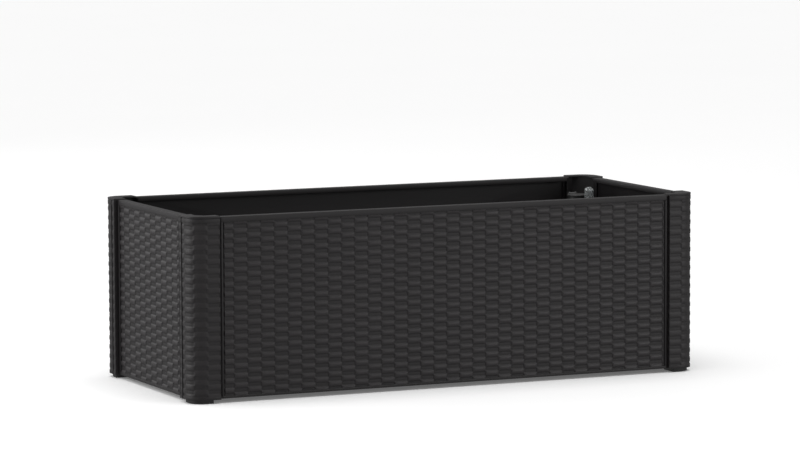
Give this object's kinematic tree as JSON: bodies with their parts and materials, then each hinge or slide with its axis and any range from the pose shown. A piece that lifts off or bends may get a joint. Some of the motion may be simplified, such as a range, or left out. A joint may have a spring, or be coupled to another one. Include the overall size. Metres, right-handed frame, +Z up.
{
  "type": "self-watering garden planter",
  "caption": "Low rectangular woven-look plastic garden planter: slotted wall panels in rounded corner posts on short feet, with water trays, lift-out soil platforms, filler and level gauge.",
  "frame": {"origin": "on the ground under the centre of the box", "axes": "+X along the length to the right seen from the front, +Y to the rear, +Z up"},
  "size_m": [1, 0.43, 0.33],
  "materials": {
    "woven_plastic": "satin moulded polypropylene, near-black anthracite, woven-strip relief with a fine grain",
    "foot_plastic": "smooth moulded polypropylene, near-black, scuffed underneath",
    "frame_plastic": "moulded polypropylene, near-black, faint flow marks",
    "tray_plastic": "moulded polypropylene, black, fine grain",
    "platform_plastic": "moulded polypropylene, dark grey, fine grain",
    "basket_plastic": "moulded polypropylene, dark grey",
    "tube_plastic": "moulded polypropylene, dark grey, satin",
    "plug_plastic": "moulded polyethylene, black",
    "seal_rubber": "black rubber",
    "zinc_steel": "zinc plated steel",
    "clear_cap": "clear moulded acrylic",
    "float_foam": "off-white closed-cell foam",
    "red_indicator": "red moulded plastic"
  },
  "bodies": {
    "planter_box": {"corner_post_front_left": "woven_plastic", "corner_post_front_right": "woven_plastic", "corner_post_rear_left": "woven_plastic", "corner_post_rear_right": "woven_plastic", "foot_front_left": "foot_plastic", "foot_front_right": "foot_plastic", "foot_rear_left": "foot_plastic", "foot_rear_right": "foot_plastic", "front_panel": "woven_plastic", "rear_panel": "woven_plastic", "left_end_panel": "woven_plastic", "right_end_panel": "woven_plastic", "base_beam_far_left": "frame_plastic", "base_beam_left": "frame_plastic", "base_beam_centre": "frame_plastic", "base_beam_right": "frame_plastic", "base_beam_far_right": "frame_plastic", "tie_bar": "frame_plastic", "tie_bar_screw_front": "zinc_steel", "tie_bar_screw_rear": "zinc_steel", "water_tray_left": "tray_plastic", "water_tray_right": "tray_plastic"},
    "left_platform": {"soil_platform_left": "platform_plastic", "wick_basket_left_inner": "basket_plastic", "wick_basket_left_outer": "basket_plastic"},
    "right_platform": {"soil_platform_right": "platform_plastic", "wick_basket_right_inner": "basket_plastic", "wick_basket_right_outer": "basket_plastic", "fill_tube": "tube_plastic", "fill_lid_pin": "zinc_steel", "gauge_tube": "tube_plastic", "gauge_cap": "clear_cap"},
    "lid": {"fill_lid": "tube_plastic"},
    "water_float": {"gauge_float": "float_foam", "gauge_rod": "red_indicator"},
    "left_drain_plug": {"drain_plug_left": "plug_plastic", "drain_seal_left": "seal_rubber"},
    "right_drain_plug": {"drain_plug_right": "plug_plastic", "drain_seal_right": "seal_rubber"}
  },
  "joints": [
    {"name": "left_platform_lift", "type": "slide", "parent": "planter_box", "child": "left_platform", "axis": [0, 0, 1], "range_m": [0, 0.12]},
    {"name": "right_platform_lift", "type": "slide", "parent": "planter_box", "child": "right_platform", "axis": [0, 0, 1], "range_m": [0, 0.12]},
    {"name": "fill_lid_hinge", "type": "hinge", "parent": "right_platform", "child": "lid", "pos_m": [0.44, 0.171, 0.298], "axis": [-1, 0, 0], "range_deg": [0, 105]},
    {"name": "float_rise", "type": "slide", "parent": "right_platform", "child": "water_float", "axis": [0, 0, 1], "range_m": [0, 0.03]},
    {"name": "left_drain_pull", "type": "slide", "parent": "planter_box", "child": "left_drain_plug", "axis": [0, 0, -1], "range_m": [0, 0.013]},
    {"name": "right_drain_pull", "type": "slide", "parent": "planter_box", "child": "right_drain_plug", "axis": [0, 0, -1], "range_m": [0, 0.013]}
  ]
}
